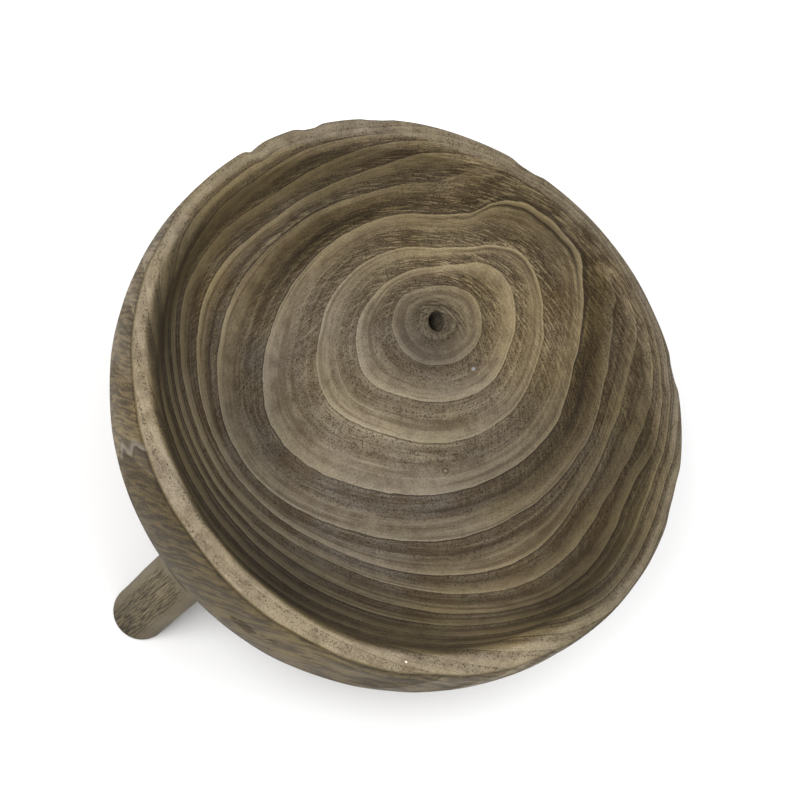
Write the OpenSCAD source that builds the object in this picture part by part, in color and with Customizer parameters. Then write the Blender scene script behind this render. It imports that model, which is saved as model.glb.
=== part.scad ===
// Footed bowl turned from one whole cross-section of a paulownia log, standing on three round pegs.
// Frame: origin on the floor under the middle of the bowl, +Z up, one peg towards -Y.

/* [Bowl] */
// Outside diameter at the rim
rim_d = 330; // [310:2:350]
// Height of the rim above the floor
height = 168; // [160:1:180]
// Height of the bowl's own body, from its flat underside to the rim
body_h = 116; // [112:1:122]
// Thickness of the wall at the rim
rim_t = 16; // [14:1:20]
// Depth of the hollow in the middle
depth = 93; // [90:1:95]
// Radius of the bulge of the outer wall, seen in section
belly_r = 102; // [96:1:106]
// How far the widest point lies below the rim
belly_drop = 22; // [16:1:28]
// Radius of the inner wall, seen in section
wall_r = 98; // [94:1:100]
// Height of that radius's centre above the rim
wall_rise = 10; // [8:1:12]
// Rounding of both rim edges
rim_edge = 4; // [2:0.5:6]

/* [Pith] */
// Width of the open pith, which runs right through the floor
pith_w = 8; // [5:0.5:10]
// How much longer than wide the pith's oval is
pith_long = 3; // [1:0.5:5]
// Distance of the pith from the bowl's axis
pith_off = 90; // [80:1:92]
// Direction of the pith from the bowl's axis, in degrees from +X
pith_dir = 109; // [95:1:130]
// Direction of the oval's long axis, in degrees from +X
pith_turn = -18; // [-90:1:90]

/* [Pegs] */
// Number of pegs
peg_n = 3; // [3:1:3]
// Diameter of a peg at its foot
foot_d = 33; // [30:1:36]
// Diameter of a peg where it meets the bowl
head_d = 34; // [32:1:38]
// Distance of a foot's centre from the bowl's axis
foot_off = 145; // [140:1:147]
// Outward lean of a peg, in degrees
splay = 4.5; // [2:0.5:6]
// Chamfer round the foot
foot_edge = 2; // [1:0.5:3]

/* [Dowels] */
// Diameter of the dowel that holds a peg
dowel_d = 12; // [10:1:14]
// Length of a dowel
dowel_l = 48; // [40:2:52]
// Radial room for glue in a dowel's bore
glue_gap = 0.1; // [0.05:0.05:0.2]
// Room for glue past each end of a dowel
end_gap = 2; // [1:0.5:3]
// Number of glue flutes along a dowel
flute_n = 10; // [8:1:14]

/* [Hidden] */
round_fn = 180;   // smoothness of turned shapes
arc_n = 28;       // steps in a long arc of the section
edge_n = 5;       // steps in a rim edge's rounding
over = 1;         // overrun of a cut past a face
seam = 0.1;       // glue line between a peg's scribed head and the bowl
peg_stock = 118;  // length of the peg blank before its head is scribed
flute_r = 0.8;    // radius of a dowel's glue flute
dowel_edge = 1.5; // chamfer of a dowel's ends

front_dir = -90;
right_dir = front_dir + 360 / peg_n;
left_dir = front_dir - 360 / peg_n;

// Section of the outer wall: one arc from the rim to the flat underside.
belly_x = rim_d / 2 - sqrt(pow(belly_r, 2) - pow(belly_drop, 2));
outer_edge_a = asin((belly_drop - rim_edge) / (belly_r - rim_edge));
flat_a = -asin((body_h - belly_drop) / belly_r);

// Section of the hollow: a wall arc that runs into a shallow floor arc.
wall_x = rim_d / 2 - rim_t - sqrt(pow(wall_r, 2) - pow(wall_rise, 2));
inner_edge_a = -asin((wall_rise + rim_edge) / (wall_r + rim_edge));
floor_k = depth + wall_rise;
floor_r = (pow(wall_x, 2) + pow(floor_k, 2) - pow(wall_r, 2)) / (2 * (floor_k - wall_r));
floor_a = -atan2(floor_r - depth - wall_rise, wall_x);

// Height at which a peg's axis passes through the outer wall, found by repeated substitution.
function wall_z(x) = height - belly_drop - sqrt(pow(belly_r, 2) - pow(x - belly_x, 2));
function axis_x(z) = foot_off - z * tan(splay);
function seat_z(z, n) = n == 0 ? z : seat_z(wall_z(axis_x(z)), n - 1);
seat = seat_z(height / 2, 12) / cos(splay);

function arc(x, z, r, from, to, n) =
    [for (i = [0:n]) let (a = from + (to - from) * i / n) [x + r * cos(a), z + r * sin(a)]];

// Outline of the outside, grown by gap, from the axis round to the rim's outer edge.
function outside(gap) = concat(
    [[0, height - body_h - gap]],
    arc(belly_x, height - belly_drop, belly_r + gap, flat_a, outer_edge_a, arc_n));

// Outline of the rim's two rounded edges.
function rim() = concat(
    arc(belly_x + (belly_r - rim_edge) * cos(outer_edge_a), height - rim_edge, rim_edge,
        outer_edge_a, 90, edge_n),
    arc(wall_x + (wall_r + rim_edge) * cos(inner_edge_a), height - rim_edge, rim_edge,
        90, 180 + inner_edge_a, edge_n));

// Outline of the hollow, from the rim's inner edge to the axis.
function inside() = concat(
    arc(wall_x, height + wall_rise, wall_r, inner_edge_a, floor_a, arc_n),
    arc(0, height - depth + floor_r, floor_r, floor_a, -90, arc_n / 2));

module turned(points) rotate_extrude($fn = round_fn) polygon(points);

module place(dir) rotate([0, 0, dir]) translate([foot_off, 0, 0]) rotate([0, -splay, 0]) children();

// Bore for one end of every kind of dowel seat, through the middle of the joint.
module dowel_bore() {
    half = dowel_l / 2 + end_gap;
    translate([0, 0, seat - half]) cylinder(h = 2 * half, d = dowel_d + 2 * glue_gap, $fn = 48);
}

// The open pith: an oval channel straight down along the log.
module pith() {
    rotate([0, 0, pith_dir]) translate([pith_off, 0, height - body_h - over])
        rotate([0, 0, pith_turn - pith_dir]) {
            for (end = [-0.5, 0.5]) translate([end * pith_long, 0, 0])
                cylinder(h = body_h, d = pith_w, $fn = 48);
            translate([-pith_long / 2, -pith_w / 2, 0]) cube([pith_long, pith_w, body_h]);
        }
}

module bowl() color([0.42, 0.37, 0.30]) difference() {
    turned(concat(outside(0), rim(), inside()));
    pith();
    for (dir = [front_dir, right_dir, left_dir]) place(dir) dowel_bore();
}

// A peg: round stock, cut level at the floor, its head scribed to the outer wall.
module leg(dir) color([0.40, 0.36, 0.30]) difference() {
    place(dir) intersection() {
        translate([0, 0, -over]) cylinder(h = peg_stock, d1 = foot_d, d2 = head_d, $fn = 96);
        rotate([0, splay, 0])
            cylinder(h = peg_stock, r1 = foot_d / 2 - foot_edge,
                r2 = foot_d / 2 - foot_edge + peg_stock, $fn = 96);
    }
    turned(concat(outside(seam), [[0, height + over]]));
    place(dir) dowel_bore();
}

// A fluted beech dowel, half in the bowl and half in the peg.
module dowel(dir) color([0.78, 0.66, 0.48]) place(dir) translate([0, 0, seat - dowel_l / 2])
    difference() {
        union() {
            cylinder(h = dowel_edge, d1 = dowel_d - 2 * dowel_edge, d2 = dowel_d, $fn = 48);
            translate([0, 0, dowel_edge])
                cylinder(h = dowel_l - 2 * dowel_edge, d = dowel_d, $fn = 48);
            translate([0, 0, dowel_l - dowel_edge])
                cylinder(h = dowel_edge, d1 = dowel_d, d2 = dowel_d - 2 * dowel_edge, $fn = 48);
        }
        for (i = [1:flute_n]) rotate([0, 0, 360 * i / flute_n])
            translate([dowel_d / 2, 0, -over]) cylinder(h = dowel_l + 2 * over, r = flute_r, $fn = 24);
    }

bowl();
leg(front_dir);  // leg_front
leg(right_dir);  // leg_right
leg(left_dir);  // leg_left
dowel(front_dir);  // dowel_front
dowel(right_dir);  // dowel_right
dowel(left_dir);  // dowel_left
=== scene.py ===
"""Footed wooden bowl: its looks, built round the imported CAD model, in metres and in the row frame."""
import math
from types import SimpleNamespace

import bpy
import numpy as np
from mathutils import Matrix, Vector, noise


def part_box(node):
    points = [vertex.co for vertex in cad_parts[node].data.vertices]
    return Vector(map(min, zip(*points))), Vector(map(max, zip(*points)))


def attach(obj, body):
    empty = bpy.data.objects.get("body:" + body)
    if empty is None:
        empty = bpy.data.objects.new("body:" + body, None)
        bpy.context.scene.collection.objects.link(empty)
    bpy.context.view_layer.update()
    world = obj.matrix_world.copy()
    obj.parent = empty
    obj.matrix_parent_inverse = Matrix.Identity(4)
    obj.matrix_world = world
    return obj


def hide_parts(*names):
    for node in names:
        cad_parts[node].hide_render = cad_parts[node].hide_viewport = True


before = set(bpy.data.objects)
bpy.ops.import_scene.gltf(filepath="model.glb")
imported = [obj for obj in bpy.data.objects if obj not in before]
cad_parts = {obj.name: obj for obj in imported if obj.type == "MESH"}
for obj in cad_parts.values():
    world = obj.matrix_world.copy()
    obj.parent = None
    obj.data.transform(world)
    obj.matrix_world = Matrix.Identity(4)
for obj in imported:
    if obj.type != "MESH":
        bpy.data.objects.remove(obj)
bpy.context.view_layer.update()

MM = 0.001
BODY = "root"

# ---- the bowl's section, as in the CAD model
bowl_low, bowl_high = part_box("bowl")
RIM_Z = bowl_high.z
BASE_Z = bowl_low.z
RIM_R = 165 * MM
RIM_T = 16 * MM  # the rim's thickness
DEPTH = 93 * MM  # the hollow's depth below the rim
BELLY_R = 102 * MM  # the outer wall's arc
BELLY_DROP = 22 * MM  # how far below the rim that arc's middle lies, and so the bowl's widest point
WALL_R = 98 * MM  # the arc of the hollow's wall
WALL_RISE = 10 * MM  # how far above the rim that arc's middle lies
INNER_EDGE = 8 * MM  # how far the rim's inner edge is rounded, rounder than in the CAD model
OUTER_EDGE = 1.2 * MM  # the rim's outer edge, sharper than in the CAD model
BASE_EDGE = 7 * MM  # the edge of the underside

# The open pith: its middle in plan, half its length, half its width and its turn.
PITH = np.array([-28.9, 85.5]) * MM
PITH_LONG, PITH_WIDE = 5.9 * MM, 4.4 * MM
PITH_TURN = math.radians(-18)
PITH_UNEVEN = 0.025
PITH_EDGE_DROP, PITH_EDGE_REACH = 0.7 * MM, 0.45 * MM  # its softened edge
PITH_SWELL, PITH_SWELL_OUT, PITH_SWELL_REACH = 0.3 * MM, 1.6 * MM, 0.9 * MM  # and the swelling round that

# ---- how the log grew
# Reach of each growth ring's outer edge from the pith, in mm, towards these directions in degrees from +X.
TOWARDS = [0, 30, 60, 90, 110, 125, 135, 150, 180, 210, 240, 270, 300, 330]
RING_REACH = [
    [27, 27.5, 25, 22.5, 20.5, 20, 19.5, 19.5, 22, 26.5, 27, 27, 26.5, 26],
    [49, 45.5, 42.5, 38.5, 35, 31, 30, 29.5, 34, 41, 50, 56, 50, 48.5],
    [70, 61.5, 54.5, 49, 43.5, 39, 38, 38.5, 48, 61, 73.5, 86, 76, 73.5],
    [96, 79.5, 69.5, 60, 57.5, 56.5, 52, 53, 66, 83.5, 106, 127.5, 113.5, 103.5],
    [117, 93, 76, 66, 64, 64, 66, 66, 79, 106.5, 140, 157.5, 143.5, 132.5],
    [128, 101, 80.5, 70, 67, 67, 70, 73, 88, 117, 158, 167.5, 161, 158.5],
    [140, 108, 84, 73.5, 70, 70, 73, 78, 95, 128, 173, 177.5, 170, 173],
    [147, 113, 87, 76.5, 73, 73, 76, 82, 101, 138, 182, 185, 184, 188.5],
    [153, 118, 90, 79, 75.5, 76, 79, 85.5, 106, 146, 190, 191.5, 195, 197],
]
# The width of every ring further out, how many of them there are, and where the pale rim starts (mm).
OUTER_GROWTH = [7.5, 5.5, 3.5, 3, 3, 3, 3.2, 3.8, 5.5, 8, 9, 11, 10, 9]
OUTER_RINGS = 9
RIM_FROM = [155, 157, 157, 157, 154, 153, 153, 153, 156, 156, 153, 151, 151, 151]
CORNER_EASE = 4  # over how many degrees the ring outlines' tight corners are eased

SPIRAL = 0.8  # how far the rings drift round the bowl for each metre below the rim, on the outer wall
SPREAD = 0.5  # how much of the outer wall's taper the rings follow
# In the hollow, cut vessels lie across a direction half way between this one and straight out from the pith.
COMB = np.array([-0.466, 0.767, 0.443])
COMB_TURN = math.radians(121)  # where they show most, as seen from the pith
COMB_SPACING = 0.9 * MM
OUTSIDE_COMB = np.array([-0.60, 0.68, 0.42])  # on the outer wall they lie across this
OUTSIDE_COMB_SPACING = 1.8 * MM
STREAK_SIZE = 9 * MM  # how slowly the streaks along the rings change

# ---- how the wood has weathered, and the light and shade painted on it
# Lightness by ring, from the pith outwards, and of patches: x, y and radius (mm), then lightness. Part of it
# is the wood's own tone and part is painted shade: the rings darken outwards where the hollow's wall
# steepens, and the dark patches under the near rim are painted shade there.
RING_TONE_AND_SHADE = [0.71, 1.0, 1.04, 0.98, 0.86, 0.84, 0.84, 0.82, 0.78, 0.74, 0.72]
TONE_AND_SHADE_PATCHES = [
    (-75, 125, 40, 0.92), (-82, 121, 12, 1.4), (0, 140, 30, 1.1), (60, 115, 30, 0.8),
    (100, 75, 42, 0.66), (-25, 75, 22, 0.7), (60, -20, 40, 0.92), (0, 0, 22, 1.28),
    (-10, -140, 60, 0.48), (42, -112, 36, 0.5), (-110, -100, 38, 0.5), (152, 8, 33, 0.47),
    (-50, -48, 22, 0.7), (-75, -25, 16, 0.75), (-122, -30, 22, 1.3), (-155, -60, 28, 0.62),
    (125, -120, 35, 0.75), (145, 45, 22, 0.75), (148, -50, 13, 1.6), (52, 88, 20, 0.75),
    (100, -65, 28, 0.66), (-25, -50, 16, 0.78), (-70, 55, 30, 0.82), (-125, 50, 15, 0.82),
    (-20, 150, 25, 0.8), (123, 10, 17, 1.35), (70, -90, 32, 0.72), (-25, 115, 18, 1.12),
    (50, 50, 24, 0.8), (-55, -128, 22, 0.8), (102, 102, 16, 0.84), (-50, 100, 18, 1.15),
]
TONE = 0.95  # lightness of the whole bowl

# Sides where the wood differs, as seen from the bowl's middle: a direction and a half width, in degrees.
# Bands are the radii (m) over which a difference sets in.
PLAIN_SHADED_SIDE, PLAIN_SHADED_BAND = (258, 85), (133 * MM, 143 * MM)  # plain brown wood under the near rim, darkened there too as painted shade of the rim on the hollow's wall
STRIPED_SIDE, STRIPED_BAND = (225, 65), (88 * MM, 104 * MM)  # strong stripes on the hollow's wall
QUIET_SIDE, QUIET_BAND = (318, 26), (112 * MM, 128 * MM)  # fewer streaks on the hollow's wall
WARM_BAND = (60 * MM, 130 * MM)  # warmer wood further out in the hollow
RIM_STREAKED_SIDE = (50, 60)  # the rim keeps most of its streaks here
RIM_LIT_FROM, RIM_LIT_REACH = 272, (50, 110)  # painted highlight: the rim's top is painted palest here, where the light falls on it, up to so many degrees away
RIM_PALE_SIDE, RIM_DULL_SIDE = (135, 45), (320, 32)
WALL_WARM_SIDE, WALL_DARK_SIDE, WALL_PALE_SIDE = (275, 52), (285, 40), (203, 30)
WALL_BAND = (50 * MM, 110 * MM)  # those three fade away under the bowl

# The same as seen from the pith. A smear darkens the wood; its last number is its strength.
WORN_SIDE, WORN_RINGS = (98, 68), (4.0, 4.3)  # from this ring outwards, the ring edges are worn away
SMEARS, SMEAR_STARTS, SMEAR_ENDS = [(30, 50, 1.15), (203, 34, 1.2)], (4.0, 4.1), (4.45, 5.0)
# Sides where vessels are cut open through the whole of a ring, and how far from the pith that sets in.
OPEN_SIDES = [((35, 60), (45 * MM, 65 * MM)), ((145, 14), (45 * MM, 55 * MM))]
FOLD_SIDE, FOLD_RINGS, FOLD_END = (97, 42), (2.2, 2.6), 4  # edges of these rings end in a raised lip
LIP_HEIGHT, LIP_BACK, LIP_REACH = 0.4 * MM, 0.5, 0.7  # the last two in mm, back from the ring's edge
GROOVE_DEPTH, GROOVE_BACK, GROOVE_REACH = 0.5 * MM, 2.0, 0.8

# A wavy pale figure down the outer wall: its direction in degrees, its middle and reach (m), and, in mm,
# its distance from crest to crest, its swing to each side, and its drift for each mm downwards.
WAVE_AT = 247.5
WAVE_MIDDLE = np.array([-66, -152, 152]) * MM
WAVE_REACH = 30 * MM
WAVE_LENGTH, WAVE_SWING, WAVE_DRIFT = 17, 2.3, 0.2
WAVE_SPAN = 40  # how far round the wall its distance is kept (mm)

# ---- how the knife shaped it
# Flats left by the knife on the rim's outer edge: direction in degrees, depth and half width in mm.
KNIFE_FLATS = [
    (33, 1.3, 15), (60, 1.2, 9), (113, 1.6, 9), (147, 0.8, 8), (162, 1.8, 7), (175, 2.4, 6),
    (204, 0.8, 16), (236, 0.6, 18), (268, 0.7, 20), (296, 0.8, 16), (322, 1.0, 14), (345, 0.9, 14),
]
FLAT_FADE = 20  # how far down a flat fades away (mm)
SHY_SIDE, SHY_DEPTH = (-42, 45), 2.2 * MM  # the belly falls short on this side,
SHY_FROM, SHY_TO = (5, 20), (60, 80)  # between these depths below the rim (mm)
STEP_SHARE, STEP_LEAST, STEP_MOST = 0.055, 0.15, 1.0  # a step's share of its ring's width; its limits (mm)
STEP_OUTSIDE = 0.25  # how much of the steps is left on the rim and the outer wall
UNEVEN, UNEVEN_SIZE = 0.35 * MM, 28 * MM
RIM_UNEVEN, RIM_UNEVEN_SIZE = 0.5 * MM, 20 * MM

# ---- mesh density
COLUMNS = 512
QUARTER_UP_TO, HALF_UP_TO = 0.1, 0.4  # rows up to these shares of the way to the rim have fewer columns
UNDER_QUARTER_UP_TO = 0.6  # the same for the underside, where the others have half
HOLLOW_ROWS = 150
HOLLOW_START = 0.009  # the hollow's evenly spaced rows start at this share
PITH_ROWS = [0, 0.0012, 0.0028, 0.005]  # and closer rows lie before it
RIM_ROWS = 12
OUTER_ROWS = 46
UNDER_ROWS = 20
CHANNEL_ROWS = 8


def smooth(x, low, high):
    """0 below low, 1 above high, and an S curve between."""
    u = np.clip((x - low) / (high - low), 0, 1)
    return u * u * (3 - 2 * u)


def hump(x, middle, reach):
    """1 at the middle, falling away to both sides."""
    return np.exp(-(((x - middle) / reach) ** 2))


def turned_from(phi, direction):
    """Degrees from this direction, from -180 to 180."""
    return (np.degrees(phi) - direction + 180) % 360 - 180


def towards(phi, direction, half):
    """1 in this direction, in degrees, falling away to both sides."""
    return hump(turned_from(phi, direction), 0, half)


def rough(points, size, seed=0.0):
    """Smooth noise from -1 to 1 with features of this size."""
    shift = Vector((seed, 2 * seed, 3 * seed))
    return np.array([noise.noise(Vector(p) / size + shift) for p in points])


def angles(n):
    return np.arange(n) * 2 * math.pi / n


def circle(radius, phi):
    return radius * np.stack([np.cos(phi), np.sin(phi)], -1)


# ---- the growth rings
def slopes(xs, ys):
    """Slopes of a curve through (xs, ys) along the last axis that never overshoots."""
    run = np.diff(xs, axis=-1)
    rise = np.diff(ys, axis=-1) / run
    before, after = rise[..., :-1], rise[..., 1:]
    total = np.where(before * after > 0, before + after, 1)
    inner = np.where(before * after > 0, 2 * before * after / total, 0)
    return np.concatenate([rise[..., :1], inner, rise[..., -1:]], -1)


def between(u, run, y0, y1, m0, m1):
    """Cubic from (0, y0) with slope m0 to (run, y1) with slope m1, at the share u of run."""
    first = ((1 + 2 * u) * y0 + u * run * m0) * (1 - u) ** 2
    return first + ((3 - 2 * u) * y1 - (1 - u) * run * m1) * u * u


def round_trip(angle, values):
    """Smooth closed curve through one value for each direction in TOWARDS."""
    xs = np.concatenate([np.array(TOWARDS) + turn for turn in (-360.0, 0.0, 360.0)])
    ys = np.tile(np.array(values, float), 3)
    ms = slopes(xs, ys)
    i = np.clip(np.searchsorted(xs, angle) - 1, 0, len(xs) - 2)
    run = xs[i + 1] - xs[i]
    return between((angle - xs[i]) / run, run, ys[i], ys[i + 1], ms[i], ms[i + 1])


def softly(angle, values):
    """The same curve with its tight corners eased."""
    both = round_trip(angle - CORNER_EASE, values) + round_trip(angle + CORNER_EASE, values)
    return (both + 2 * round_trip(angle, values)) / 4


def pick(table, index):
    """One value of each row of a table."""
    return np.take_along_axis(table, index[..., None], -1)[..., 0]


def growth(x, y):
    """Ring coordinate (its whole part counts rings from the pith), ring width and direction, in plan."""
    dx, dy = x - PITH[0], y - PITH[1]
    reach = np.hypot(dx, dy) / MM
    angle = np.degrees(np.arctan2(dy, dx)) % 360
    edges = [np.zeros_like(reach)] + [softly(angle, ring) for ring in RING_REACH]
    for _ in range(OUTER_RINGS):
        edges.append(edges[-1] + softly(angle, OUTER_GROWTH))
    edges = np.stack(edges, -1)
    count = np.broadcast_to(np.arange(edges.shape[-1], dtype=float), edges.shape)
    ms = slopes(edges, count)
    i = np.clip((edges <= reach[..., None]).sum(-1) - 1, 0, edges.shape[-1] - 2)
    run = pick(edges, i + 1) - pick(edges, i)
    u = np.clip((reach - pick(edges, i)) / run, 0, 1)
    ring = between(u, run, i, i + 1, pick(ms, i), pick(ms, i + 1))
    return ring, run, np.radians(angle)


# ---- the section as one line, measured along its length
def arc(cx, cz, r, start, end, n=60):
    """Points on an arc, from one angle in degrees to another."""
    a = np.radians(np.linspace(start, end, n))
    return np.stack([cx + r * np.cos(a), cz + r * np.sin(a)], -1)


SAME_POINT = 1e-7  # points closer than this are one


def section():
    """Points (r, z) from the middle of the hollow, over the rim, to the middle of the underside."""
    wall_x = RIM_R - RIM_T - math.sqrt(WALL_R**2 - WALL_RISE**2)
    wall_z = RIM_Z + WALL_RISE
    reach = DEPTH + WALL_RISE
    floor_r = (wall_x**2 + reach**2 - WALL_R**2) / (2 * (reach - WALL_R))
    floor_a = -math.degrees(math.atan2(floor_r - reach, wall_x))
    in_a = -math.degrees(math.asin((WALL_RISE + INNER_EDGE) / (WALL_R + INNER_EDGE)))
    in_x = wall_x + (WALL_R + INNER_EDGE) * math.cos(math.radians(in_a))
    belly_x = RIM_R - math.sqrt(BELLY_R**2 - BELLY_DROP**2)
    belly_z = RIM_Z - BELLY_DROP
    out_a = math.degrees(math.asin((BELLY_DROP - OUTER_EDGE) / (BELLY_R - OUTER_EDGE)))
    out_x = belly_x + (BELLY_R - OUTER_EDGE) * math.cos(math.radians(out_a))
    base_a = -math.degrees(math.asin((belly_z - BASE_Z - BASE_EDGE) / (BELLY_R - BASE_EDGE)))
    base_x = belly_x + (BELLY_R - BASE_EDGE) * math.cos(math.radians(base_a))
    parts = {
        "hollow": [
            arc(0, RIM_Z - DEPTH + floor_r, floor_r, -90, floor_a),
            arc(wall_x, wall_z, WALL_R, floor_a, in_a, 200),
        ],
        "rim": [
            arc(in_x, RIM_Z - INNER_EDGE, INNER_EDGE, 180 + in_a, 90),
            arc(out_x, RIM_Z - OUTER_EDGE, OUTER_EDGE, 90, out_a),
        ],
        "outside": [
            arc(belly_x, belly_z, BELLY_R, out_a, base_a, 200),
            arc(base_x, BASE_Z + BASE_EDGE, BASE_EDGE, base_a, -90),
        ],
    }
    ends, line = {}, np.zeros((0, 2))
    for name, arcs in parts.items():
        line = np.concatenate([line] + arcs)
        ends[name] = len(line) - 1
    line = np.concatenate([line, [[0, BASE_Z]]])
    steps = np.hypot(*np.diff(line, axis=0).T)
    keep = np.concatenate([[True], steps > SAME_POINT])
    along = np.concatenate([[0], np.cumsum(steps)])
    return line[keep], along[keep], {name: along[i] for name, i in ends.items()}


LINE, ALONG, ENDS = section()
NORMAL_STEP = 0.2 * MM


def on_section(s):
    """Radius, height and outward normal (in section) at the distance s along the line."""
    r, z = (np.interp(s, ALONG, LINE[:, i]) for i in (0, 1))
    ahead, behind = s + NORMAL_STEP, s - NORMAL_STEP
    dr, dz = (np.interp(ahead, ALONG, LINE[:, i]) - np.interp(behind, ALONG, LINE[:, i]) for i in (0, 1))
    size = np.hypot(dr, dz)
    return r, z, -dz / size, dr / size


def turned(s, phi):
    """Points and normals of the turned surface."""
    r, z, nr, nz = on_section(s)
    points = np.stack([r * np.cos(phi), r * np.sin(phi), z], -1)
    return points, np.stack([nr * np.cos(phi), nr * np.sin(phi), nz], -1)


def pith_outline(phi):
    """The open pith's oval, in plan, slightly uneven."""
    a = phi - PITH_TURN
    uneven = 1 + PITH_UNEVEN * np.sin(3 * phi + 1)
    x, y = PITH_LONG * np.cos(a) * uneven, PITH_WIDE * np.sin(a) * uneven
    c, s = math.cos(PITH_TURN), math.sin(PITH_TURN)
    return np.stack([PITH[0] + c * x - s * y, PITH[1] + s * x + c * y], -1)


# ---- the legs' places
LEG_LEAN = math.radians(4.5)
FOOT_OUT = 145 * MM
LEG_FOOT_R, LEG_HEAD_R = 16.5 * MM, 17 * MM
LEGS = {"leg_front": -90, "leg_right": 30, "leg_left": 150}
LEG_TURN = 50  # how far, in degrees, each leg's grain is turned round its axis from the last one's
LEG_SINK = 0.5 * MM  # how far a leg's head goes into the wall
LEG_CLEAR = (2 * MM, 9 * MM)  # the wall round a leg is left even up to here, and fully uneven from there on


def leg_axes(direction):
    """A leg's foot, its axis, and the two directions across it."""
    a = math.radians(direction)
    out = np.array([math.cos(a), math.sin(a), 0])
    up = np.array([0, 0, 1.0])
    axis = up * math.cos(LEG_LEAN) - out * math.sin(LEG_LEAN)
    across = out * math.cos(LEG_LEAN) + up * math.sin(LEG_LEAN)
    return out * FOOT_OUT, axis, across, np.cross(axis, across)


def outside_height(points):
    """Height of the outer wall at these points' radius, below its widest point."""
    outer = (ALONG > ENDS["rim"]) & (LINE[:, 1] < RIM_Z - BELLY_DROP)
    return np.interp(np.hypot(points[:, 0], points[:, 1]), LINE[outer, 0][::-1], LINE[outer, 1][::-1])


def clear_of_legs(points):
    """0 on the outer wall where a leg's head sits, 1 away from it."""
    share = np.ones(len(points))
    for direction in LEGS.values():
        foot, axis, _, _ = leg_axes(direction)
        away = points - foot
        away = away - np.outer(away @ axis, axis)
        share *= smooth(np.linalg.norm(away, axis=1) - LEG_HEAD_R, *LEG_CLEAR)
    return share


# ---- the carved surface
def survey(points, phi, s):
    """Where these points of the turned surface lie: how far in each region (0 to 1), and in which ring."""
    x, y, z = points.T
    at = SimpleNamespace(points=points, phi=phi, radius=np.hypot(x, y))
    at.inside = 1 - smooth(s, ENDS["hollow"] + 4 * MM, ENDS["rim"])
    at.outer = smooth(s, ENDS["rim"] - 1.5 * MM, ENDS["rim"])
    at.hollow = 1 - smooth(s, ENDS["hollow"] - 12 * MM, ENDS["hollow"])
    at.underside = smooth(s, ENDS["outside"] - 4 * MM, ENDS["outside"] + 4 * MM)
    at.clear = clear_of_legs(points)
    at.glued = (1 - at.clear) * at.outer
    at.edge = (s - ENDS["rim"]) / MM

    rim_from = round_trip(np.degrees(phi) % 360, RIM_FROM) * MM + 1.2 * MM * rough(points, 30 * MM, 11.0)
    on_top = smooth(z, RIM_Z - 9 * MM, RIM_Z - 4 * MM)
    at.rim = smooth(at.radius, rim_from, rim_from + 3.5 * MM) * on_top * (1 - at.outer)
    at.plain = smooth(at.radius, *PLAIN_SHADED_BAND) * towards(phi, *PLAIN_SHADED_SIDE) * (1 - at.rim) * at.inside
    at.stripes = smooth(at.radius, *STRIPED_BAND) * towards(phi, *STRIPED_SIDE) * (1 - at.rim) * at.inside
    at.quiet = smooth(at.radius, *QUIET_BAND) * towards(phi, *QUIET_SIDE) * at.inside
    at.wall = at.outer * smooth(at.radius, *WALL_BAND)

    spiral = phi + SPIRAL * ((RIM_Z - z) * (1 - at.inside)) / RIM_R
    taper = at.radius + SPREAD * at.outer * (RIM_R - at.radius) * smooth(at.radius, 0, 110 * MM)
    at.wander = 0.6 * MM * rough(points, 16 * MM, 3.0) + 1.2 * MM * at.outer * rough(points, 24 * MM, 9.0)
    at.ring, at.width, at.around = growth(*(taper * turn(spiral) + at.wander for turn in (np.cos, np.sin)))
    at.share = at.ring - np.floor(at.ring)
    at.reach = np.hypot(x - PITH[0], y - PITH[1])

    at.worn = np.minimum(1, 1.35 * towards(at.around, *WORN_SIDE)) * smooth(at.ring, *WORN_RINGS)
    at.fold = np.minimum(1, 1.4 * towards(at.around, *FOLD_SIDE)) * at.inside
    smear = np.maximum(*[strength * towards(at.around, side, half) for side, half, strength in SMEARS])
    at.smear = smear * smooth(at.ring, *SMEAR_STARTS) * (1 - smooth(at.ring, *SMEAR_ENDS)) * at.inside
    return at


def terrace(at):
    """How far earlywood has worn back below the latewood: a step down at each ring's edge."""
    past = at.share * at.width
    deep = smooth(past, 0.1, 1.6) * (1 - smooth(at.share, 0.12, 0.85))
    depth = np.clip(STEP_SHARE * at.width, STEP_LEAST, STEP_MOST) * MM
    left = (1 - 0.92 * at.worn) * (STEP_OUTSIDE + (1 - STEP_OUTSIDE) * at.hollow) * (1 - at.underside)
    return -depth * deep * left


def raised_lip(at):
    """A thin lip along the edge of some rings, with a groove beside it."""
    before = (1 - at.share) * at.width
    lip = LIP_HEIGHT * hump(before, LIP_BACK, LIP_REACH)
    groove = GROOVE_DEPTH * hump(before, GROOVE_BACK, GROOVE_REACH)
    return (lip - groove) * at.fold * smooth(at.ring, *FOLD_RINGS) * (at.ring < FOLD_END)


def unevenness(at):
    """What the hand tools left."""
    everywhere = UNEVEN * rough(at.points, UNEVEN_SIZE, 5.0) * at.clear
    return everywhere + RIM_UNEVEN * at.rim * rough(at.points, RIM_UNEVEN_SIZE, 7.0)


def knife_flats(at):
    """Shallow flats cut into the outer edge of the rim, and a belly that falls short on one side."""
    cut = np.zeros(len(at.points))
    for direction, depth, half in KNIFE_FLATS:
        off = np.radians(turned_from(at.phi, direction)) * RIM_R / MM
        cut -= depth * MM * np.exp(-((off / half) ** 4))
    below = (RIM_Z - at.points[:, 2]) / MM
    belly = smooth(below, *SHY_FROM) * (1 - smooth(below, *SHY_TO))
    shy = SHY_DEPTH * towards(at.phi, *SHY_SIDE) * belly
    return (cut * hump(below, 0, FLAT_FADE) - shy) * (1 - at.inside)


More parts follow.
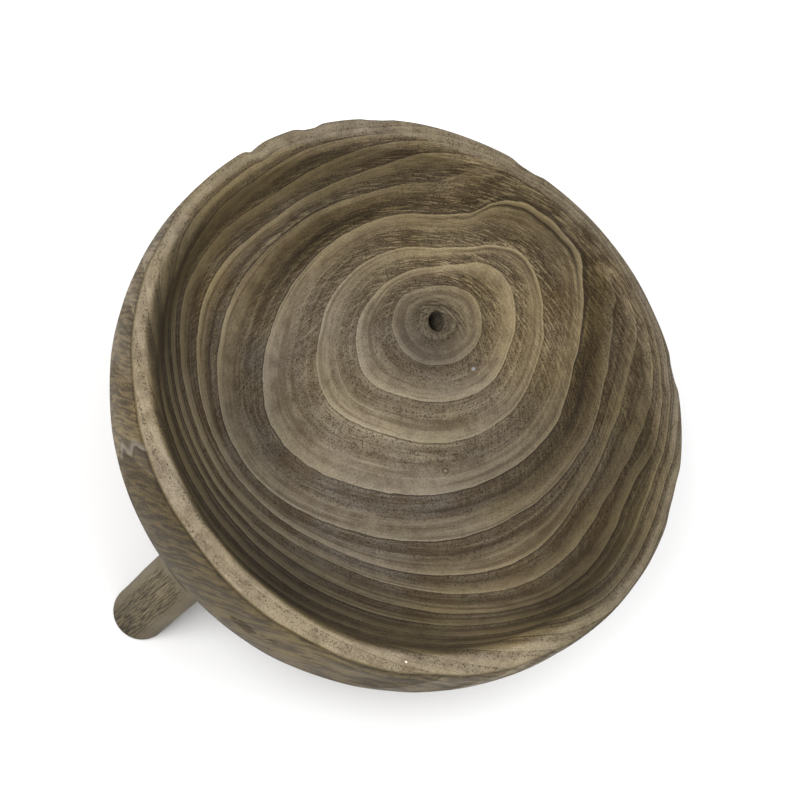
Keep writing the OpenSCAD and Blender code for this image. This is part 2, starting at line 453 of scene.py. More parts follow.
def combing(at):
    """How strongly cut vessels show, and where they lie across their direction."""
    early = np.interp(at.share, [0, 0.2, 0.45, 0.7, 1], [0.9, 1, 0.7, 0.15, 0])
    sides = [towards(at.around, *side) * smooth(at.reach, *band) for side, band in OPEN_SIDES]
    opened = np.maximum(0.7 * np.maximum(*sides), 0.9 * at.worn)
    combed = np.abs(np.cos((at.around - COMB_TURN) / 2)) ** 1.5 * (0.15 + 0.85 * np.maximum(early, opened))
    outside = at.outer > 0.5
    outside_place = (at.points @ OUTSIDE_COMB + at.wander) / OUTSIDE_COMB_SPACING
    hollow_place = (at.reach + at.points @ COMB) / COMB_SPACING
    return {
        "combed": np.where(outside, 0.75 - 0.6 * at.glued, combed * (1 - at.rim) * (1 - at.plain)),
        "comb": np.where(outside, outside_place, hollow_place),
    }


def lightness_and_shade(at):
    """How light the wood is painted: by ring, by patch, and on the rim and the walls, with painted shade and
    painted highlight mixed into the wood's own tone.
    """
    tone = np.interp(at.ring, np.arange(len(RING_TONE_AND_SHADE)) + 0.5, RING_TONE_AND_SHADE)
    for x, y, radius, level in TONE_AND_SHADE_PATCHES:
        apart = np.hypot(at.points[:, 0] - x * MM, at.points[:, 1] - y * MM)
        tone *= 1 + (level - 1) * hump(apart, 0, radius * MM)
    # painted highlight on the rim's top, on the side where the light falls
    lit = 1 - smooth(np.abs(turned_from(at.phi, RIM_LIT_FROM)), *RIM_LIT_REACH)
    sides = 0.15 * towards(at.phi, *RIM_PALE_SIDE) - 0.14 * towards(at.phi, *RIM_DULL_SIDE)
    tone = tone ** (1 - 0.7 * at.rim)
    # painted shade: the plain wood under the near rim is darkened where the rim shades the hollow's wall
    tone *= 1 + at.rim * (0.55 * lit - 0.2 + sides) - 0.48 * at.plain + 0.1 * at.glued
    tone *= 1 - 0.4 * at.smear
    tone *= 1 - 0.36 * at.wall * towards(at.phi, *WALL_DARK_SIDE)
    tone *= 1 + 0.2 * at.outer + 0.75 * at.wall * towards(at.phi, *WALL_PALE_SIDE)
    return TONE * tone


def warmth(at):
    """How far the wood turns from grey to brown."""
    hollow = 0.36 * smooth(at.radius, *WARM_BAND) * (1 - 0.7 * at.rim) + 0.4 * at.plain + 0.3 * at.smear
    return np.maximum(hollow, 0.25 * at.outer + 0.6 * at.wall * towards(at.phi, *WALL_WARM_SIDE))


def calmness(at):
    """How far the streaks are missing."""
    rim = at.rim * (0.85 - 0.55 * towards(at.phi, *RIM_STREAKED_SIDE))
    return rim + 0.85 * at.outer + (1 - at.rim) * np.maximum(0.85 * at.plain, 0.65 * at.quiet)


def carve(points, normals, phi, s):
    """One row of the skin: the turned surface moved to the hand-finished one, with its stored values."""
    at = survey(points, phi, s)
    carved = points + normals * (terrace(at) + raised_lip(at) + unevenness(at))[:, None]
    carved[:, :2] += knife_flats(at)[:, None] * circle(1, phi)
    round_wall = np.radians(turned_from(phi, WAVE_AT)) * RIM_R / MM
    return {
        "co": carved,
        "ring": at.ring,
        "width": at.width,
        **combing(at),
        "slow": points / STREAK_SIZE * (1 - 0.5 * at.outer[:, None]),
        "tone": lightness_and_shade(at),
        "stripes": at.stripes,
        "worn": at.worn * (1 - at.outer) * (1 - 0.5 * at.rim),
        "fold": at.fold,
        "rim": at.rim,
        "calm": calmness(at),
        "warm": warmth(at),
        "outer": at.outer,
        "edge": at.edge,
        "round_wall": np.clip(round_wall, -WAVE_SPAN, WAVE_SPAN),
    }


def hollow_rows():
    """Rows from the open pith to where the rim starts; they change from the pith's outline to a circle."""
    hollow = ALONG <= ENDS["hollow"]
    rows = []
    for w in np.concatenate([PITH_ROWS, np.linspace(HOLLOW_START, 1, HOLLOW_ROWS)]):
        n = COLUMNS // (4 if w < QUARTER_UP_TO else 2 if w < HALF_UP_TO else 1)
        hole = pith_outline(angles(n))
        hole_r = np.hypot(*hole.T)
        hole = hole / hole_r[:, None] * np.interp(hole_r, LINE[hollow, 0], ALONG[hollow])[:, None]
        flat = (1 - w) * hole + w * circle(ENDS["hollow"], angles(n))
        s, phi = np.hypot(*flat.T), np.arctan2(flat[:, 1], flat[:, 0])
        points, normals = turned(s, phi)
        to_hole = np.linalg.norm(flat - hole, axis=1)
        points[:, 2] -= PITH_EDGE_DROP * hump(to_hole, 0, PITH_EDGE_REACH)
        points[:, 2] += PITH_SWELL * hump(to_hole, PITH_SWELL_OUT, PITH_SWELL_REACH)
        rows.append(carve(points, normals, phi, s))
    return rows


def outer_rows():
    """Rows over the rim and down the outer wall."""
    phi = angles(COLUMNS)
    rows = []
    for s in np.concatenate([
        np.linspace(ENDS["hollow"], ENDS["rim"], RIM_ROWS + 1)[1:],
        np.linspace(ENDS["rim"], ENDS["outside"], OUTER_ROWS + 1)[1:],
    ]):
        along = np.full(COLUMNS, s)
        points, normals = turned(along, phi)
        rows.append(carve(points, normals, phi, along))
    return rows


def under_rows():
    """Rows of the flat underside, back to the open pith."""
    base_r = np.interp(ENDS["outside"], ALONG, LINE[:, 0])
    rows = []
    for w in np.linspace(1, 0, UNDER_ROWS)[1:]:
        n = COLUMNS // (2 if w > UNDER_QUARTER_UP_TO else 4)
        phi = angles(n)
        flat = (1 - w) * pith_outline(phi) + w * circle(base_r, phi)
        points = np.column_stack([flat, np.full(n, BASE_Z)])
        normals = np.tile([0.0, 0.0, -1.0], (n, 1))
        beyond = np.full(n, ENDS["outside"] + 10 * MM)
        rows.append(carve(points, normals, np.arctan2(flat[:, 1], flat[:, 0]), beyond))
    return rows


def channel_rows(bottom, top):
    """Rows of the pith's channel, up through the floor: dull wood, no lighter or warmer on any side."""
    dull = np.zeros(len(bottom["co"]))
    return [
        {**bottom, "co": bottom["co"] * (1 - share) + top["co"] * share, "warm": dull, "tone": dull + 0.5}
        for share in np.arange(1, CHANNEL_ROWS) / CHANNEL_ROWS
    ]


def stitch(rows, closed):
    """Faces between neighbouring rows; a row may have half or twice the next one's columns."""
    starts = np.cumsum([0] + [len(row) for row in rows])
    faces = []
    for a in range(len(rows) if closed else len(rows) - 1):
        b = (a + 1) % len(rows)
        n, m = len(rows[a]), len(rows[b])
        first, second = starts[a], starts[b]
        if n == m:
            faces += [(first + i, first + (i + 1) % n, second + (i + 1) % n, second + i) for i in range(n)]
            continue
        few, start_few, start_many = (n, first, second) if n < m else (m, second, first)
        for i in range(few):
            f0, f1 = start_few + i, start_few + (i + 1) % few
            m0, m1, m2 = (start_many + (2 * i + k) % (2 * few) for k in range(3))
            made = [(f0, m1, m0), (f0, f1, m1), (f1, m2, m1)]
            faces += made if n < m else [face[::-1] for face in made]
    return faces


def add_object(name, data):
    made = bpy.data.objects.new(name, data)
    bpy.context.scene.collection.objects.link(made)
    return made


def make_object(name, points, faces):
    mesh = bpy.data.meshes.new(name)
    mesh.from_pydata(points.tolist(), [], faces)
    mesh.update()
    mesh.shade_smooth()
    return add_object(name, mesh)


def keep_values(made, **values):
    """Stores one number or one vector for each point, under its name."""
    for name, value in values.items():
        kind, field = ("FLOAT", "value") if value.ndim == 1 else ("FLOAT_VECTOR", "vector")
        stored = made.data.attributes.new(name, kind, "POINT")
        stored.data.foreach_set(field, value.astype(np.float32).ravel())


def make_bowl():
    """The bowl's skin as one closed loop of rows: hollow, rim, outer wall, underside and pith channel."""
    rows = hollow_rows() + outer_rows() + under_rows()
    rows += channel_rows(rows[-1], rows[0])
    whole = {key: np.concatenate([row[key] for row in rows]) for key in rows[0]}
    faces = stitch([row["co"] for row in rows], closed=True)
    made = make_object("carved_bowl", whole.pop("co"), faces)
    keep_values(made, **whole)
    return made


# ---- legs
LEG_COLUMNS = 96
LEG_ROWS = 60
FOOT_EDGE = 2.6 * MM  # rounding of the foot
FOOT_SHARES = (0.03, 0.4, 0.7)  # rows under the foot, and on top of the head, as shares of the radius
HEAD_SHARES = (0.66, 0.33, 0.02)
LEG_SWELL = 0.03  # how much thicker the peg gets towards its head
FILLET, FILLET_REACH = 0.09, 1.3 * MM  # the glue under the bowl
LEG_UNEVEN, LEG_UNEVEN_SIZE = 0.35 * MM, 30 * MM
LEG_UNEVEN_FROM, LEG_UNEVEN_TO = (4 * MM, 12 * MM), (60 * MM, 72 * MM)  # how high up it sets in and fades
DASH_SIZE = np.array([0.5, 0.5, 12]) * MM  # the cut vessels' dashes: across, across and along the leg
FIT_START, FIT_ROUNDS = 90 * MM, 12  # a leg's first height, and how often it is corrected


def fit_heights(start, axis):
    """How high a line from each of these points goes along the axis before it ends in the bowl's wall."""
    top = np.full(len(start), FIT_START)
    for _ in range(FIT_ROUNDS):
        end = start + np.outer((top - FOOT_EDGE) / axis[2], axis)
        top = outside_height(end) + LEG_SINK
    return top


def leg_rows(direction):
    """Rows of a peg, from under its softened foot to its head, which is fitted to the bowl's wall."""
    foot, axis, across, side = leg_axes(direction)
    psi = angles(LEG_COLUMNS)

    def level(share, height):
        """Points at a share of the peg's radius, this far above the floor."""
        r = LEG_FOOT_R * share
        low = foot + np.outer(r * np.cos(psi), across) + np.outer(r * np.sin(psi), side)
        return low + np.outer((height - low[:, 2]) / axis[2], axis)

    edge = FOOT_EDGE / LEG_FOOT_R
    rows = [level(share, 0) for share in (*FOOT_SHARES, 1 - edge)]
    for a in np.radians([22, 45, 67, 90]):
        rows.append(level(1 - edge * (1 - math.sin(a)), FOOT_EDGE * (1 - math.cos(a))))
    start = rows[-1]
    length = fit_heights(start, axis) - FOOT_EDGE
    for share in np.sin(np.linspace(0, math.pi / 2, LEG_ROWS))[1:]:
        up = length * share
        flare = 1 + FILLET * np.exp(-length * (1 - share) / FILLET_REACH) + LEG_SWELL * share
        centre = foot + np.outer((FOOT_EDGE + up) / axis[2], axis)
        spoke = start + np.outer(up / axis[2], axis) - centre
        rows.append(centre + spoke * flare[:, None])
    head = rows[-1]
    head[:, 2] = outside_height(head) + LEG_SINK
    middle = head.mean(0)
    for share in HEAD_SHARES:
        cap = middle + (head - middle) * share
        cap[:, 2] = outside_height(cap) + LEG_SINK
        rows.append(cap)
    return rows


def make_leg(name, direction, seed):
    """A slightly uneven peg, with cut vessels dashed along two of its sides."""
    foot, axis, across, side = leg_axes(direction)
    rows = leg_rows(direction)
    points = np.concatenate(rows)
    away = points - foot
    local = np.stack([away @ across, away @ side, away @ axis], -1)
    spoke = away - np.outer(local[:, 2], axis)
    dent = LEG_UNEVEN * rough(points, LEG_UNEVEN_SIZE, seed) * smooth(points[:, 2], *LEG_UNEVEN_FROM)
    dent = dent * (1 - smooth(local[:, 2], *LEG_UNEVEN_TO))
    points = points + spoke / LEG_FOOT_R * dent[:, None]
    faces = stitch(rows, closed=False)
    faces.append(tuple(range(LEG_COLUMNS))[::-1])
    faces.append(tuple(len(points) - LEG_COLUMNS + i for i in range(LEG_COLUMNS)))
    made = make_object(name + "_peg", points, faces)
    turn = math.radians(LEG_TURN * (seed - 1))
    facing = np.abs(local[:, 0] * math.cos(turn) + local[:, 1] * math.sin(turn)) / LEG_FOOT_R
    dashed = smooth(facing, 0.68, 0.92)
    height = points[:, 2]
    keep_values(
        made,
        along=local / DASH_SIZE,
        dashed=dashed * smooth(outside_height(points) - height, 2 * MM, 12 * MM),
        # lighter towards the head and darker where dashed; the last few mm above the floor are painted shade
        # where the foot meets the floor
        tone=0.66 + 0.12 * smooth(height, 0, 70 * MM) - 0.16 * dashed - 0.12 * np.exp(-height / (3 * MM)),
    )
    return made


# ---- materials
class Wood:
    """A material and short ways to add nodes to it. Inputs may be numbers or other nodes' outputs."""

    def __init__(self, name):
        self.material = bpy.data.materials.new(name)
        self.material.use_nodes = True
        self.nodes = self.material.node_tree.nodes
        self.links = self.material.node_tree.links
        self.shader = self.nodes["Principled BSDF"]

    def put(self, socket, value):
        if isinstance(value, bpy.types.NodeSocket):
            self.links.new(value, socket)
        else:
            socket.default_value = value

    def add(self, kind, inputs, **settings):
        """Outputs of a new node with these inputs, by number or name, and these settings."""
        made = self.nodes.new("ShaderNode" + kind)
        for name, setting in settings.items():
            setattr(made, name, setting)
        for key, value in inputs.items():
            self.put(made.inputs[key], value)
        return made.outputs

    def value(self, name, output="Fac"):
        """What keep_values stored under this name."""
        return self.add("Attribute", {}, attribute_name=name)[output]

    def math(self, operation, a, b=0.0, c=0.0):
        return self.add("Math", {0: a, 1: b, 2: c}, operation=operation)[0]

    def times(self, first, *others):
        for other in others:
            first = self.math("MULTIPLY", first, other)
        return first

    def line(self, x, slope, offset):
        """x * slope + offset."""
        return self.math("MULTIPLY_ADD", x, slope, offset)

    def most(self, a, b):
        return self.math("MAXIMUM", a, b)

    def vector_math(self, operation, vector, other):
        return self.add("VectorMath", {0: vector, 1: other}, operation=operation)

    def noise(self, vector, across=0.0, detail=2.0, roughness=0.5):
        """Noise over a position, and over a second value that may change faster across the grain."""
        inputs = {"Vector": vector, "W": across, "Scale": 1.0, "Detail": detail, "Roughness": roughness}
        return self.add("TexNoise", inputs, noise_dimensions="4D")[0]

    def scaled_noise(self, vector, scale, *details):
        """Noise over a position times one scale, or one for each axis; then noise's other inputs."""
        scales = scale if isinstance(scale, tuple) else (scale,) * 3
        return self.noise(self.vector_math("MULTIPLY", vector, scales)[0], *details)

    def where(self):
        return self.add("TexCoord", {})["Object"]

    def spots(self, per_metre, *details):
        """Noise through the wood, with this many features in a metre; then noise's other inputs."""
        return self.scaled_noise(self.where(), per_metre, *details)

    def distance(self, place):
        return self.vector_math("DISTANCE", self.where(), place)["Value"]

    def ramp(self, x, *stops):
        """Colours at (position, colour) stops, evenly blended between them."""
        colours = self.add("ValToRGB", {0: x})[0]
        elements = colours.node.color_ramp.elements
        while len(elements) < len(stops):
            elements.new(0.5)
        for element, (place, colour) in zip(elements, stops):
            element.position = place
            element.color = (*colour, 1)
        return colours

    def curve(self, x, *stops):
        """The same with a plain number at each stop."""
        return self.ramp(x, *((place, (v, v, v)) for place, v in stops))

    def above(self, x, low, high, most=1):
        """0 where x is below low, rising to most where it is above high."""
        return self.curve(x, (low, 0), (high, most))

    def below(self, x, low, high, most=1):
        """most where x is below low, falling to 0 where it is above high."""
        return self.curve(x, (low, most), (high, 0))

    def mix(self, share, a, b, blend="MIX"):
        a, b = ((*colour, 1) if isinstance(colour, tuple) else colour for colour in (a, b))
        return self.add("Mix", {0: share, 6: a, 7: b}, data_type="RGBA", blend_type=blend)[2]

    def tinted(self, colour, tint):
        return self.mix(1.0, colour, tint, "MULTIPLY")

    def surface(self, *values):
        """Sets the shader's colour, its roughness and, where it is given, how much it reflects."""
        for name, value in zip(("Base Color", "Roughness", "Specular IOR Level"), values):
            self.put(self.shader.inputs[name], value)

    def bump(self, height, depth):
        self.put(self.shader.inputs["Normal"], self.add("Bump", {"Distance": depth, "Height": height})[0])


def paint(colour):
    """A colour given as it looks, 0 to 255, turned into the linear numbers that shaders use."""
    return tuple((c / 255 / 12.92) if c < 10.3 else ((c / 255 + 0.055) / 1.055) ** 2.4 for c in colour)


PALE = paint((143, 134, 113))
TAN = paint((120, 110, 92))
OLIVE = paint((109, 99, 80))
GREY = paint((98, 93, 84))
BROWN = paint((71, 58, 40))
DARK = paint((42, 33, 22))
WAVE_PALE = paint((172, 162, 146))
WARM = (1.17, 0.98, 0.44)  # what wood is multiplied by where it has turned brown
COOL_TINT, YELLOW_TINT = (1.01, 0.985, 1.05), (1.02, 0.985, 0.92)
DULL = 0.25  # how much the worn wood reflects, against 0.5 for common materials

# Small marks: where they are, how far they reach (m), and their colour.
KNOT = (45 * MM, 31.5 * MM, 79.1 * MM)
MARKS = [
    (KNOT, 2.8 * MM, paint((68, 57, 42))),
    (KNOT, 1.3 * MM, paint((134, 122, 100))),
    ((7 * MM, 86 * MM, 86 * MM), 1.4 * MM, paint((140, 148, 146))),
    ((114 * MM, -110 * MM, RIM_Z), 0.8 * MM, paint((225, 222, 205))),
]

# Noises through the wood: how many features there are in a metre.
TINTS_PER_M, PATCHES_PER_M, LEG_PATCHES_PER_M, RUBBED_PER_M, MOTTLE_PER_M = 22, 28, 45, 60, 110
FLECKS_PER_M, BEECH_PER_M, SPECKLE_PER_M = (900, 900, 600), (900, 900, 60), 1300
# Noises that follow the rings: their pace along a ring, against STREAK_SIZE's, and how many fit in a ring.
BANDS_ALONG, BANDS_PER_RING = 0.1, 8
STREAKS_ALONG, STREAKS_PER_RING = 0.45, 30
LINES_ALONG, LINES_PER_RING = 0.05, 0.9
STRENGTH_ALONG = 0.12
GRAIN_SLOPE, GRAIN_OFFSET = 1.1, 0.45  # how far the speckle lightens and darkens the wood

# How strong a mark is at each share of the way through a ring, from its inner edge to its outer one.
EARLYWOOD = ((0.0, 0.85), (0.2, 1), (0.4, 0.7), (0.6, 0.15), (1.0, 0))
SECOND_LINE = ((0.27, 0), (0.31, 1), (0.35, 1), (0.42, 0))
STRIPE_LINE = ((0.22, 0), (0.27, 1), (0.32, 1), (0.36, 0))
# How strong it is in the first mm of a ring, in its last mm, and in the last 5 mm.
EDGE_LINE = ((0.0, 1), (0.5, 0.9), (1.0, 0))
# Pale latewood along each ring's raised outer edge, with a painted highlight on that edge.
PALE_EDGE_AND_HIGHLIGHT = ((0.0, 1), (0.5, 0.8), (1.0, 0))
SHOULDER_MM = 5
SHOULDER = ((0.0, 1), (0.5, 0.7), (1.0, 0))
# Painted highlight on the raised lips, and painted shade in the grooves beside them.
LIP_HIGHLIGHT = ((0.0, 0.4), (0.06, 0.8), (0.16, 0.7), (0.24, 0))
GROOVE_SHADE = ((0.26, 0), (0.32, 0.85), (0.42, 0.7), (0.54, 0))
# How strong it is by ring, 0 at the pith and 1 at the tenth.
RAMP_RINGS = 10
LIP_BY_RING = ((0.2, 0), (0.26, 0.5), (0.32, 1), (0.4, 1), (0.401, 0))
# How strong it is within 5 mm of the rim's outer edge, which lies at 0.5.
RIM_RAMP_MM = 10
# A painted highlight on the rim's worn outer edge, and painted shade in the crease below it.
WORN_EDGE_HIGHLIGHT = ((0.3, 0), (0.42, 0.5), (0.49, 0.6), (0.5, 0))
CREASE_SHADE = ((0.49, 0), (0.52, 0.8), (0.58, 0.6), (0.66, 0))
# How strong it is within 15 mm of the wave's line, which lies at 0.5.
WAVE_RAMP_MM = 30
WAVE_RAGGED_MM = 5
WAVE_CREST = ((0.36, 0), (0.47, 0.4), (0.52, 0.5), (0.57, 0))
WAVE_TROUGH = ((0.53, 0), (0.58, 0.75), (0.62, 0.7), (0.68, 0.4), (0.8, 0.3), (0.95, 0))


def ring_places(w):
    """Where a point lies in its ring, and the stored values that several marks need."""
    m = SimpleNamespace(slow=w.value("slow", "Vector"), ring=w.value("ring"))
    for name in ("worn", "stripes", "warm", "outer", "edge", "calm"):
        setattr(m, name, w.value(name))
    m.clear = w.math("SUBTRACT", 1.0, m.calm)
    grown = w.math("ADD", m.ring, w.line(w.noise(m.slow), 0.06, -0.03))
    width = w.value("width")
    m.share = w.math("FRACT", grown)
    m.past_edge = w.times(m.share, width)
    m.before_edge = w.times(w.math("SUBTRACT", 1.0, m.share), width)
    m.near_edge = w.times(m.before_edge, 1 / SHOULDER_MM)
    m.age = w.times(grown, 1 / RAMP_RINGS)
    m.late_growth = w.above(m.age, 0.3, 0.42)
    m.mottle = w.spots(MOTTLE_PER_M, 3.0, 4, 0.6)
    return m


def ring_marks(w, m):
    """Adds how strong the marks are that follow the rings."""
    kept, kept_line, kept_band = (w.line(m.worn, -share, 1.0) for share in (0.8, 0.85, 0.65))
    rubbed = w.curve(w.spots(RUBBED_PER_M, 9.0, 3), (0.42, 0.1), (0.58, 1))
    m.early = w.line(m.worn, rubbed, w.times(w.curve(m.share, *EARLYWOOD), kept))
    m.late = w.times(w.above(m.share, 0.5, 0.95), kept_band, 0.3)

    strength = w.scaled_noise(m.slow, STRENGTH_ALONG, 20.0, 2)
    dark = w.most(m.late_growth, w.curve(strength, (0.35, 0.2), (0.6, 1)))
    first = w.times(w.curve(m.past_edge, *EDGE_LINE), dark)
    second = w.times(w.curve(m.share, *SECOND_LINE), m.late_growth, w.below(strength, 0.4, 0.62))
    second = w.most(second, w.times(m.stripes, w.curve(m.share, *STRIPE_LINE)))
    unequal = w.scaled_noise(m.slow, LINES_ALONG, w.times(m.ring, LINES_PER_RING), 1)
    unequal = w.curve(unequal, (0.4, 0.35), (0.6, 1))
    m.lines = w.times(w.most(first, w.times(second, 0.8)), m.clear, unequal, kept_line)

    m.pale_edge = w.times(w.curve(m.before_edge, *PALE_EDGE_AND_HIGHLIGHT), kept_line, m.clear, 0.35)
    shoulder = w.times(w.curve(m.near_edge, *SHOULDER), w.curve(m.age, (0.1, 0.2), (0.12, 1)), kept)
    m.shoulder = w.times(shoulder, m.clear, w.line(m.stripes, 0.35, 0.45))

    bands = w.scaled_noise(m.slow, BANDS_ALONG, w.times(m.ring, BANDS_PER_RING), 2)
    m.dark_bands = w.times(w.above(bands, 0.53, 0.62), w.line(m.calm, -0.4, 0.5), kept_band)
    m.light_bands = w.times(w.below(bands, 0.34, 0.44, 0.4), kept_band, w.line(m.stripes, 1.2, 1.0), m.clear)
    m.streaks = w.scaled_noise(m.slow, STREAKS_ALONG, w.times(m.ring, STREAKS_PER_RING), 3, 0.6)


def vessel_marks(w, m):
    """Adds how strong the marks of the wood's vessels are: cuts, the ridges between them, and open pores."""
    combed = w.value("combed")
    m.strokes = w.noise(m.slow, w.value("comb"), 2)
    m.cuts = w.times(w.above(m.strokes, 0.48, 0.58), combed)
    m.ridges = w.times(w.below(m.strokes, 0.36, 0.46, 0.75), w.line(m.outer, -0.35, combed))
    pores = w.above(w.spots(FLECKS_PER_M, 7.0, 3), 0.56, 0.64)
    m.dots = w.times(pores, w.curve(m.early, (0.0, 0.25), (0.7, 1)))


def ring_colour(w, m):
    """The wood's own colour, with its bands and streaks."""
    patches = w.spots(PATCHES_PER_M, 0.0, 3)
    soft = w.mix(w.most(w.above(patches, 0.4, 0.6), w.most(m.warm, m.worn)), GREY, BROWN)
    softness = w.times(m.early, w.line(m.late_growth, 0.6, 0.3))
    softness = w.line(softness, w.times(m.stripes, 0.3), softness)
    colour = w.mix(w.above(patches, 0.38, 0.62), TAN, OLIVE)
    colour = w.mix(m.late, colour, PALE)
    colour = w.mix(w.value("rim"), colour, w.mix(0.5, TAN, PALE))
    colour = w.mix(w.times(softness, m.clear), colour, soft)
    colour = w.mix(w.above(m.mottle, 0.42, 0.68, 0.6), colour, BROWN)
    colour = w.mix(m.light_bands, colour, PALE)
    colour = w.mix(m.shoulder, colour, PALE)
    colour = w.mix(m.dark_bands, colour, BROWN)
    streaked = w.times(w.above(m.streaks, 0.5, 0.72, 0.7), w.line(m.early, 0.7, 0.3), m.clear)
    colour = w.mix(streaked, colour, BROWN)
    return w.mix(w.times(w.below(m.streaks, 0.28, 0.48, 0.35), m.early), colour, PALE)


def marked(w, m, colour):
    """That colour with the cut vessels, the pores, the ring lines, a painted highlight along each ring's
    raised edge, and the raised lips with painted highlight on them and painted shade in their grooves.
    """
    colour = w.mix(m.ridges, colour, PALE)
    colour = w.mix(w.times(m.cuts, w.line(m.outer, 0.25, 0.5)), colour, DARK)
    colour = w.mix(w.times(m.dots, 0.6), colour, DARK)
    colour = w.mix(m.pale_edge, colour, PALE)
    colour = w.mix(w.times(m.lines, w.line(m.late_growth, 0.3, 0.6)), colour, DARK)
    folded = w.times(w.curve(m.age, *LIP_BY_RING), w.value("fold"))
    # painted highlight on the raised lips, and painted shade in their grooves
    colour = w.mix(w.times(folded, w.curve(m.near_edge, *LIP_HIGHLIGHT)), colour, PALE)
    return w.mix(w.times(folded, w.curve(m.near_edge, *GROOVE_SHADE)), colour, DARK)


def rim_edge(w, m, colour):
    """The rim's outer edge worn pale, with a painted highlight on it, and painted shade in the crease below
    it.
    """
    place = w.line(m.edge, 1 / RIM_RAMP_MM, 0.5)
    colour = w.mix(w.curve(place, *WORN_EDGE_HIGHLIGHT), colour, PALE)
    crease_shade = w.times(w.curve(place, *CREASE_SHADE), w.curve(m.mottle, (0.35, 0.2), (0.55, 1)))
    return w.mix(crease_shade, colour, DARK)


def wave_figure(w, m, colour):
    """The wavy figure: a pale crest, with a brown trough beside it."""
    swing = w.times(w.math("COSINE", w.times(m.edge, 2 * math.pi / WAVE_LENGTH)), WAVE_SWING)
    off = w.math("SUBTRACT", w.line(m.edge, WAVE_DRIFT, w.value("round_wall")), swing)
    off = w.math("ADD", off, w.line(m.mottle, WAVE_RAGGED_MM, -WAVE_RAGGED_MM / 2))
    place = w.line(off, 1 / WAVE_RAMP_MM, 0.5)
    near = w.times(w.below(w.math("DIVIDE", w.distance(WAVE_MIDDLE), WAVE_REACH), 0.6, 0.9), m.outer)
    colour = w.mix(w.times(w.curve(place, *WAVE_CREST), near), colour, WAVE_PALE)
    return w.mix(w.times(w.curve(place, *WAVE_TROUGH), near), colour, BROWN)


def small_marks(w, colour):
    for place, reach, mark in MARKS:
        apart = w.math("DIVIDE", w.distance(place), reach)
        colour = w.mix(w.below(apart, 0.6, 1.0, 0.8), colour, mark)
    return colour


def toned(w, colour):
    """The colour with its fine speckle and with the stored lightness, which holds painted light and shade as
    well as the wood's tone.
    """
    grain = w.line(w.spots(SPECKLE_PER_M, 0.0, 2), GRAIN_SLOPE, GRAIN_OFFSET)
    return w.tinted(colour, w.times(grain, w.value("tone")))


def bowl_material():
    """Ring-porous wood: a dark line and open pores where a ring starts, fading into smooth pale latewood."""
    w = Wood("bowl_wood")
    m = ring_places(w)
    ring_marks(w, m)
    vessel_marks(w, m)
    colour = marked(w, m, ring_colour(w, m))
    colour = rim_edge(w, m, colour)
    colour = w.mix(m.warm, colour, w.tinted(colour, WARM))
    colour = small_marks(w, wave_figure(w, m, colour))
    colour = w.tinted(colour, w.ramp(w.spots(TINTS_PER_M, 5.0, 3), (0.35, COOL_TINT), (0.65, YELLOW_TINT)))
    w.surface(toned(w, colour), w.curve(m.early, (0.0, 0.62), (1.0, 0.82)), DULL)
    low = w.math("ADD", w.times(m.cuts, 0.7), w.times(w.most(m.dots, m.lines), 0.5))
    w.bump(w.math("SUBTRACT", w.line(m.streaks, 0.6, w.times(m.strokes, 0.5)), low), 0.6 * MM)
    return w.material


def leg_material():
    """Rived wood: smooth on two sides, with dashes of cut vessels along the other two."""
    w = Wood("leg_wood")
    dashes = w.noise(w.value("along", "Vector"), 0.0, 1)
    dashed = w.value("dashed")
    cuts = w.times(w.above(dashes, 0.53, 0.62, 0.85), dashed)
    ridges = w.times(w.below(dashes, 0.34, 0.46, 0.8), dashed)
    colour = w.mix(w.above(w.spots(LEG_PATCHES_PER_M, 0.0, 3), 0.4, 0.6), TAN, OLIVE)
    colour = w.mix(w.times(w.above(dashes, 0.35, 0.65), 0.25), colour, BROWN)
    colour = w.mix(ridges, colour, PALE)
    colour = toned(w, w.mix(cuts, colour, DARK))
    colour = w.mix(w.line(dashed, 0.2, 0.15), colour, w.tinted(colour, WARM))
    w.surface(colour, 0.75, DULL)
    w.bump(w.math("SUBTRACT", w.times(ridges, 0.5), cuts), 0.5 * MM)
    return w.material


def dowel_material():
    """Raw beech with short darker flecks along the dowel."""
    w = Wood("raw_beech")
    flecks = w.spots(BEECH_PER_M, 0.0, 3)
    colours = ((188, 152, 108), (212, 180, 138), (160, 120, 82))
    colour = w.ramp(flecks, *zip((0.3, 0.55, 0.75), map(paint, colours)))
    w.surface(colour, 0.7)
    w.bump(flecks, 0.1 * MM)
    return w.material


def floor_material():
    w = Wood("white_floor")
    w.surface((0.9, 0.9, 0.9, 1), 0.9)
    return w.material


# ---- camera, floor and light
CAMERA_AWAY = 1.5
CAMERA_ELEVATION = math.radians(60.04)
CAMERA_AZIMUTH = math.radians(4.7)
CAMERA_ROLL = math.radians(-47.72)
CAMERA_LENS = 121.0
SENSOR_WIDTH = 36
# How far the rim's middle lies to the right of the picture's middle, and above it.
RIM_OFF_CENTRE = (9.55 * MM, 6.58 * MM)

# Each light's place, size (m) and power (W).
LIGHTS = {"key_light": ((-0.35, -1.3, 1.9), 1.0, 42), "top_light": ((0.2, 0.3, 2.4), 1.6, 22)}
WORLD_STRENGTH = 0.75
FLOOR_HALF = 4.0
FLOOR_GAP = 0.2 * MM


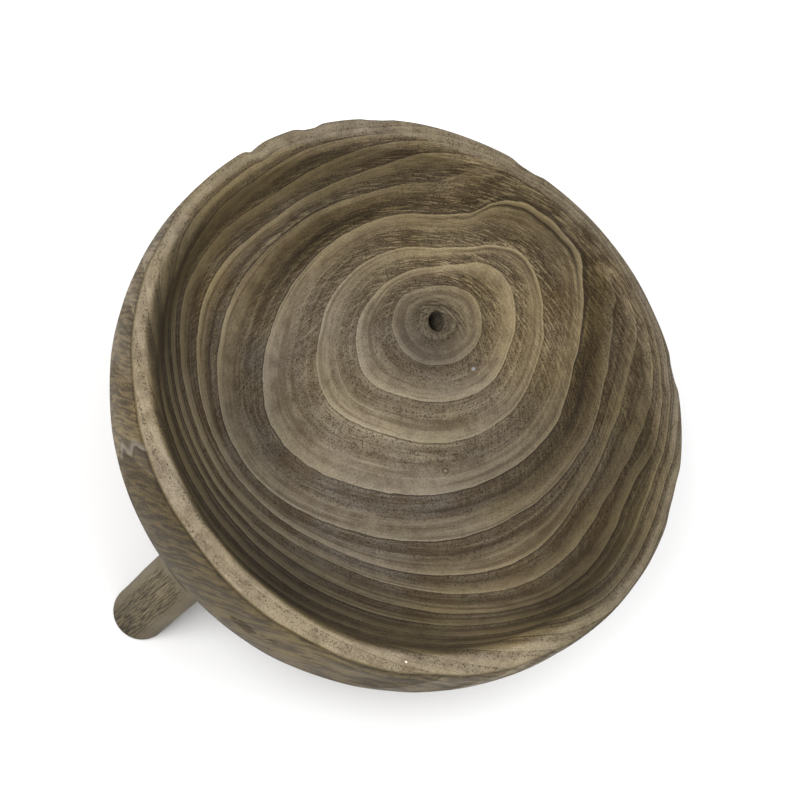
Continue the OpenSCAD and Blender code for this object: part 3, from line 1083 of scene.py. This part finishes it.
def make_camera():
    a, e, roll = CAMERA_AZIMUTH, CAMERA_ELEVATION, CAMERA_ROLL
    back = Vector((math.sin(a) * math.cos(e), -math.cos(a) * math.cos(e), math.sin(e)))
    right = Vector((math.cos(a), math.sin(a), 0))
    up = back.cross(right)
    picture_right = right * math.cos(roll) - up * math.sin(roll)
    picture_up = right * math.sin(roll) + up * math.cos(roll)
    middle = Vector((0, 0, RIM_Z))
    place = middle + back * CAMERA_AWAY
    aim = middle - picture_right * RIM_OFF_CENTRE[0] - picture_up * RIM_OFF_CENTRE[1]
    z = (place - aim).normalized()
    x = picture_up.cross(z).normalized()
    data = bpy.data.cameras.new("camera")
    data.lens = CAMERA_LENS
    data.sensor_width = SENSOR_WIDTH
    made = add_object("camera", data)
    made.matrix_world = Matrix.Translation(place) @ Matrix((x, z.cross(x), z)).transposed().to_4x4()
    bpy.context.scene.camera = made


def make_light(name, place, size, power):
    """A square light that shines on the middle of the floor."""
    data = bpy.data.lights.new(name, "AREA")
    data.size = size
    data.energy = power
    made = add_object(name, data)
    made.location = place
    made.rotation_euler = Vector(place).to_track_quat("Z", "Y").to_euler()


def make_studio():
    corners = FLOOR_HALF * np.array([(-1, -1, 0), (1, -1, 0), (1, 1, 0), (-1, 1, 0)]) - [0, 0, FLOOR_GAP]
    floor = make_object("floor", corners, [(0, 1, 2, 3)])
    floor.data.materials.append(floor_material())
    for name, (place, size, power) in LIGHTS.items():
        make_light(name, place, size, power)
    world = bpy.data.worlds.new("studio")
    world.use_nodes = True
    background = world.node_tree.nodes["Background"]
    background.inputs["Color"].default_value = (1, 1, 1, 1)
    background.inputs["Strength"].default_value = WORLD_STRENGTH
    bpy.context.scene.world = world
    bpy.context.scene.view_settings.view_transform = "Standard"


# ---- assembly
make_camera()
make_studio()
bowl = make_bowl()
bowl.data.materials.append(bowl_material())
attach(bowl, BODY)
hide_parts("bowl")
leg_wood = leg_material()
for seed, (node, direction) in enumerate(LEGS.items(), 1):
    leg = make_leg(node, direction, float(seed))
    leg.data.materials.append(leg_wood)
    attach(leg, BODY)
    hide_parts(node)
beech = dowel_material()
for node in ("dowel_front", "dowel_right", "dowel_left"):
    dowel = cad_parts[node]
    dowel.data.materials.clear()
    dowel.data.materials.append(beech)

bpy.context.view_layer.update()
